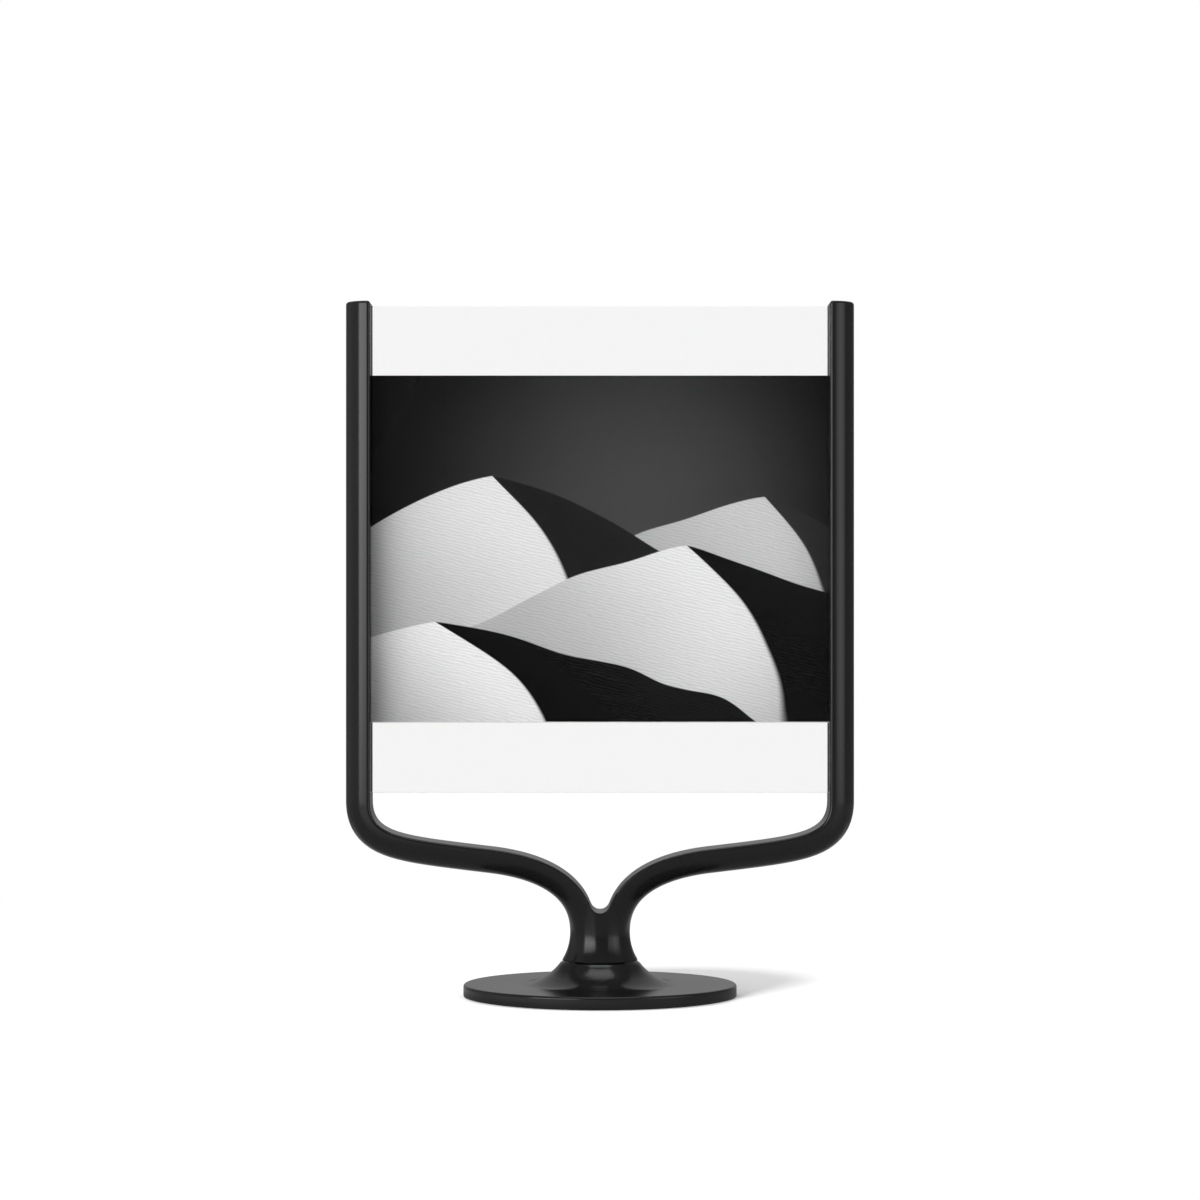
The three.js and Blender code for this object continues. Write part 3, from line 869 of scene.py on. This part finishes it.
def paint_dunes(tree, across, up, spot):
    """Four dunes from the farthest to the nearest, under a dark sky that is lightest behind them."""
    glow_spot = add_node(tree, "VectorMath", {0: spot, 1: (0.25, 0, 0.25)}, operation="DISTANCE")
    tone = step(tree, glow_spot.outputs["Value"], 0.0, 1.5, 0.062, 0.005)
    for (peak_across, peak_up), (left_fall, right_fall), (lean, sway, bends), seed, haze in [
        ((0.95, 0.30), (0.34, 0.55), (0.50, 0.10, 4.0), 2.0, 0.30),
        ((-0.62, 0.42), (0.50, 0.42), (0.42, 0.16, 3.2), 5.3, 0.10),
        ((0.50, 0.02), (0.36, 0.40), (0.62, 0.14, 3.8), 9.1, 0.03),
        ((-0.95, -0.42), (0.30, 0.28), (1.05, 0.12, 4.4), 13.7, 0.0),
    ]:
        values = {
            "Across": across,
            "Up": up,
            "Peak Across": peak_across,
            "Peak Up": peak_up,
            "Left Fall": left_fall,
            "Right Fall": right_fall,
            "Lean": lean,
            "Sway": sway,
            "Bends": bends,
            "Seed": seed,
            "Haze": haze,
        }
        layer = add_node(tree, "Group", values, node_tree=dune).outputs
        tone = add_node(tree, "Mix", {0: layer["Inside"], 2: tone, 3: layer["Tone"]}).outputs[0]
    return tone


RIDGES = 6


def paint_ridges(tree, across, up, spot):
    """Ridges that darken from the farthest to the nearest, under a full moon with a halo."""
    tone = step(tree, up, -0.2, 1.0, 0.55, 0.05)
    to_moon = add_node(tree, "VectorMath", {0: spot, 1: (-0.55, 0, 0.52)}, operation="DISTANCE")
    to_moon = to_moon.outputs["Value"]
    halo = step(tree, to_moon, 0.12, 0.75, 0.26, 0.0)
    tone = maths(tree, "ADD", tone, halo)
    moon = step(tree, to_moon, 0.135, 0.145, 1.0, 0.0)
    tone = add_node(tree, "Mix", {0: moon, 2: tone, 3: 0.95}).outputs[0]
    for layer in range(RIDGES):
        share = layer / (RIDGES - 1)
        line = add_node(tree, "CombineXYZ", {0: across, 1: 4.7 * layer + 1.3}).outputs[0]
        crags = add_node(
            tree, "TexNoise", {"Vector": line, "Scale": 1.6 + 0.5 * share, "Detail": 7, "Roughness": 0.5}
        ).outputs["Fac"]
        skyline = maths(tree, "ADD", maths(tree, "MULTIPLY", crags, 0.75), -0.10 - 1.02 * share)
        under = maths(tree, "SUBTRACT", skyline, up)
        crest_tone = 0.42 * (1 - share) ** 1.6 + 0.006
        mist_tone = 0.56 * (1 - share) ** 1.3 + 0.03
        body = step(tree, under, 0.0, 0.55, crest_tone, mist_tone)
        inside = step(tree, under, -OUTLINE_BLUR, OUTLINE_BLUR)
        tone = add_node(tree, "Mix", {0: inside, 2: tone, 3: body}).outputs[0]
    return tone


paper = grained_material(
    "photo_paper",
    dark=(0.70, 0.70, 0.69),
    light=(0.76, 0.76, 0.75),
    rough=(0.45, 0.55),
    bump=(0.2, 0.00002),
    scales={"Peel Scale": 2600, "Grain Scale": 6000, "Drift Scale": 90, "Grain Share": 0.5},
)
for node, name, paint, facing in [
    ("front_print", "front_picture", paint_dunes, -1),
    ("rear_print", "rear_picture", paint_ridges, 1),
]:
    picture = sheet(name, node, edge_r=0.04)
    for face in picture.data.polygons:
        face.material_index = 1 if face.normal.y * facing > FACES_OUT else 0
    finish_piece(picture, "photo_pack", node, "photo_paper", paper, picture_material(name, paint))


# Floor: a pale disc that reaches out of sight. To the camera it is lit and keeps the foot's shadow, and
# further out it is plain white. Reflections show it dim, but for painted glows that the coat mirrors.

KEY_AZIMUTH, FILL_AZIMUTH = 39, -57  # of the side lamps, in degrees from the camera's side to the left
floor_r = 1.3
bpy.ops.object.select_all(action="DESELECT")
bpy.ops.mesh.primitive_circle_add(vertices=128, radius=floor_r, fill_type="NGON")
floor = bpy.context.object
floor.name = floor.data.name = "floor"
floor_material, tree = new_material("floor")


def straight_sight(tree):
    """1 for rays from the camera, also on their way through the panes, and 0 for all that bounced."""
    path = add_node(tree, "LightPath").outputs
    bounces = maths(tree, "ADD", path["Diffuse Depth"], path["Glossy Depth"])
    direct = maths(tree, "SUBTRACT", 1.0, bounces, clamp=True)
    through = maths(tree, "MULTIPLY", path["Is Transmission Ray"], direct)
    return maths(tree, "MAXIMUM", path["Is Camera Ray"], through)


place = add_node(tree, "TexCoord").outputs["Object"]
right, back, _ = add_node(tree, "SeparateXYZ", {0: place}).outputs
reach = add_node(tree, "VectorMath", {0: place}, operation="LENGTH").outputs["Value"]
lit = add_node(tree, "BsdfDiffuse", {"Color": (0.40, 0.40, 0.40, 1)})
shadow_lift = add_node(tree, "Emission", {"Color": (1, 1, 1, 1), "Strength": 0.085})
near_by = add_node(tree, "AddShader", {0: lit.outputs[0], 1: shadow_lift.outputs[0]})
white = add_node(tree, "Emission", {"Color": (1, 1, 1, 1), "Strength": 1.0})
far_off = step(tree, reach, 0.20, 0.55)
seen = add_node(tree, "MixShader", {0: far_off, 1: near_by.outputs[0], 2: white.outputs[0]})

# Painted reflections of lit floor: a strip near the rim, fading from left to right, and a part behind the
# foot.
path = add_node(tree, "LightPath").outputs
length = path["Ray Length"]
strip_end = step(tree, length, 0.042, 0.048, 1.0, 0.0)
painted_rim_strip = maths(tree, "MULTIPLY", step(tree, length, 0.020, 0.030), strip_end)
painted_rim_strip = maths(tree, "MULTIPLY", painted_rim_strip, step(tree, back, -0.05, -0.01, 1.0, 0.2))
from_left = {"Value": right, "From Min": -0.05, "From Max": 0.06, "To Min": 0.66, "To Max": 0.0}
painted_rim_strip = maths(tree, "MULTIPLY", painted_rim_strip, add_node(tree, "MapRange", from_left).outputs[0])
rear_end = step(tree, reach, 0.18, 0.30, 1.0, 0.0)
rear = maths(tree, "MULTIPLY", step(tree, back, 0.03, 0.10, 0.0, 0.25), rear_end)
painted_glow = maths(tree, "ADD", painted_rim_strip, rear)
painted_glow = maths(tree, "ADD", painted_glow, 0.175)

# Two painted glows, as of the side lamps' light on the floor, grow from the foot towards the lamps' feet.
heading = add_node(tree, "VectorMath", {0: place}, operation="NORMALIZE").outputs[0]
rise = maths(tree, "SUBTRACT", 1.0, maths(tree, "DIVIDE", 0.13, reach), clamp=True)
rise = maths(tree, "MULTIPLY", rise, step(tree, reach, 0.40, 0.80, 1.0, 0.25))
for azimuth, strength, focus in ((KEY_AZIMUTH, 0.7, 0.96), (FILL_AZIMUTH, 0.29, 1.0)):
    a = math.radians(azimuth)
    toward = (-math.sin(a), -math.cos(a), 0)
    facing = add_node(tree, "VectorMath", {0: heading, 1: toward}, operation="DOT_PRODUCT")
    painted_lamp_glow = step(tree, facing.outputs["Value"], 0.90, focus, 0.0, strength)
    painted_glow = maths(tree, "ADD", painted_glow, maths(tree, "MULTIPLY", rise, painted_lamp_glow))
# Only reflections see these painted glows, which the floor emits; there the floor's own colour is black.
painted_glow = maths(tree, "MULTIPLY", painted_glow, path["Is Glossy Ray"])
mirrored = add_node(tree, "Emission", {"Color": (1, 1, 1, 1), "Strength": painted_glow})
tint = blend_colours(tree, path["Is Glossy Ray"], (0.30, 0.30, 0.30), (0.0, 0.0, 0.0))
plain = add_node(tree, "BsdfDiffuse", {"Color": tint})
bounced = add_node(tree, "AddShader", {0: plain.outputs[0], 1: mirrored.outputs[0]})
floor_surface = add_node(
    tree, "MixShader", {0: straight_sight(tree), 1: bounced.outputs[0], 2: seen.outputs[0]}
)
add_node(tree, "OutputMaterial", {"Surface": floor_surface.outputs[0]})
floor.data.materials.append(floor_material)


# Room: white to the camera, and a little more than white through the panes, for what they take away. It
# gives light from all round, but reflections show it nearly dark, with a pale wall on the left and behind.

world = bpy.data.worlds.new("studio")
bpy.context.scene.world = world
world.use_nodes = True
tree = world.node_tree
tree.nodes.clear()
way = add_node(tree, "TexCoord").outputs["Generated"]
right, back, up = add_node(tree, "SeparateXYZ", {0: way}).outputs
path = add_node(tree, "LightPath").outputs
even_light = step(tree, back, -0.2, 0.6, 1.4, 1.5)
room = add_node(tree, "Background", {"Color": (1, 1, 1, 1), "Strength": even_light})
left_wall = step(tree, right, -0.95, -0.55, 0.15, 0.0)
wall_width = step(tree, maths(tree, "ABSOLUTE", right), 0.30, 0.60, 0.265, 0.0)
back_wall = maths(tree, "MULTIPLY", wall_width, step(tree, back, 0.10, 0.40))
back_wall = maths(tree, "MULTIPLY", back_wall, step(tree, up, 0.0, 0.10, 0.4, 1.0))
shown = maths(tree, "ADD", left_wall, back_wall)
shown = maths(tree, "ADD", shown, step(tree, back, -0.6, 0.0, 0.04, 0.08))
first_bounce = maths(tree, "SUBTRACT", 2.0, path["Glossy Depth"], clamp=True)
shown = maths(tree, "MULTIPLY", shown, first_bounce)
mirrored = add_node(tree, "Background", {"Color": (1, 1, 1, 1), "Strength": shown})
white = blend_values(tree, path["Is Camera Ray"], 1.06, 1.0)
backdrop = add_node(tree, "Background", {"Color": (1, 1, 1, 1), "Strength": white})
bounced = add_node(
    tree, "MixShader", {0: path["Glossy Depth"], 1: room.outputs[0], 2: mirrored.outputs[0]}
)
sky = add_node(
    tree, "MixShader", {0: straight_sight(tree), 1: bounced.outputs[0], 2: backdrop.outputs[0]}
)
add_node(tree, "OutputWorld", {"Surface": sky.outputs[0]})


# Lamps: a large softbox on the left, a weaker one on the right and one overhead. The camera doesn't see
# them, but the coat mirrors them, so the two at the sides fade over their faces as real ones do.


def soft_lamp(name, azimuth, elevation, distance, size, radiance, aim=0.10):
    """A softbox that faces a point on the pivot's axis, at the height aim."""
    data = bpy.data.lights.new(name, "AREA")
    data.shape = "RECTANGLE"
    data.size, data.size_y = size
    data.energy = radiance * math.pi * size[0] * size[1]
    lamp = bpy.data.objects.new(name, data)
    bpy.context.scene.collection.objects.link(lamp)
    a, e = math.radians(azimuth), math.radians(elevation)
    way = Vector((-math.sin(a) * math.cos(e), -math.cos(a) * math.cos(e), math.sin(e)))
    lamp.location = Vector((0, 0, aim)) + way * distance
    lamp.rotation_euler = way.to_track_quat("Z", "Y").to_euler()
    lamp.visible_camera = False
    return lamp


def lamp_plane(lamp, azimuth):
    """Node tree of a lamp, and the height and the place to the right of each point on it."""
    lamp.data.use_nodes = True
    tree = lamp.data.node_tree
    a = math.radians(azimuth)
    rightward = (math.cos(a), -math.sin(a), 0)
    spot = add_node(tree, "NewGeometry").outputs["Position"]
    height = add_node(tree, "SeparateXYZ", {0: spot}).outputs["Z"]
    aside = add_node(tree, "VectorMath", {0: spot, 1: rightward}, operation="DOT_PRODUCT")
    return tree, height, aside.outputs["Value"]


# The key lamp fades towards its lower and upper ends, and most in its lower right corner.
key = soft_lamp("key", KEY_AZIMUTH, elevation=12.5, distance=1.3, size=(0.97, 0.80), radiance=3.7)
tree, height, aside = lamp_plane(key, KEY_AZIMUTH)
rising = add_node(tree, "MapRange", {"Value": height, "From Min": -0.15, "From Max": 0.30}).outputs[0]
level = maths(tree, "POWER", rising, 0.5)
level = maths(tree, "MULTIPLY", level, step(tree, height, 0.25, 0.75, 1.0, 0.4))
across = add_node(tree, "MapRange", {"Value": aside, "From Min": -0.40, "From Max": 0.485}).outputs[0]
corner = maths(tree, "MULTIPLY", across, step(tree, height, -0.10, 0.50, 0.65, 0.05))
level = maths(tree, "MULTIPLY", level, maths(tree, "SUBTRACT", 1.0, corner))
tree.links.new(level, tree.nodes["Emission"].inputs["Strength"])

# The fill lamp fades towards both its sides and its upper end.
fill = soft_lamp("fill", FILL_AZIMUTH, elevation=12.5, distance=1.3, size=(1.05, 0.80), radiance=1.15)
tree, height, aside = lamp_plane(fill, FILL_AZIMUTH)
level = step(tree, maths(tree, "ABSOLUTE", aside), 0.0, 0.60, 1.1, 0.45)
level = maths(tree, "MULTIPLY", level, step(tree, height, 0.36, 0.70, 1.0, 0.35))
tree.links.new(level, tree.nodes["Emission"].inputs["Strength"])

soft_lamp("overhead", azimuth=0, elevation=86, distance=1.2, size=(0.78, 0.5), radiance=1.7)

# A low lamp reaches only the floor, and only the pad stands in its way: the foot's shadow lies behind it.
low_lamp = soft_lamp(
    "floor_light", azimuth=26, elevation=1.25, distance=3, size=(0.80, 0.03), radiance=57000, aim=0
)
for linked, member in (("receiver_collection", floor), ("blocker_collection", pad)):
    members = bpy.data.collections.new("floor_light_" + linked)
    members.objects.link(member)
    setattr(low_lamp.light_linking, linked, members)


# Camera: level, 1.41 m in front of the pivot and at the height of the picture's middle, with a lens that
# gives the photograph's framing.

eye_away, eye_height = 1.411, 0.1453
lens = bpy.data.cameras.new("camera")
lens.sensor_width = 36
lens.lens = 115.6
lens.clip_end = 20
camera = bpy.data.objects.new("camera", lens)
bpy.context.scene.collection.objects.link(camera)
camera.location = (0, -eye_away, eye_height)
camera.rotation_euler = (math.pi / 2, 0, 0)
bpy.context.scene.camera = camera
bpy.context.scene.view_settings.view_transform = "Standard"
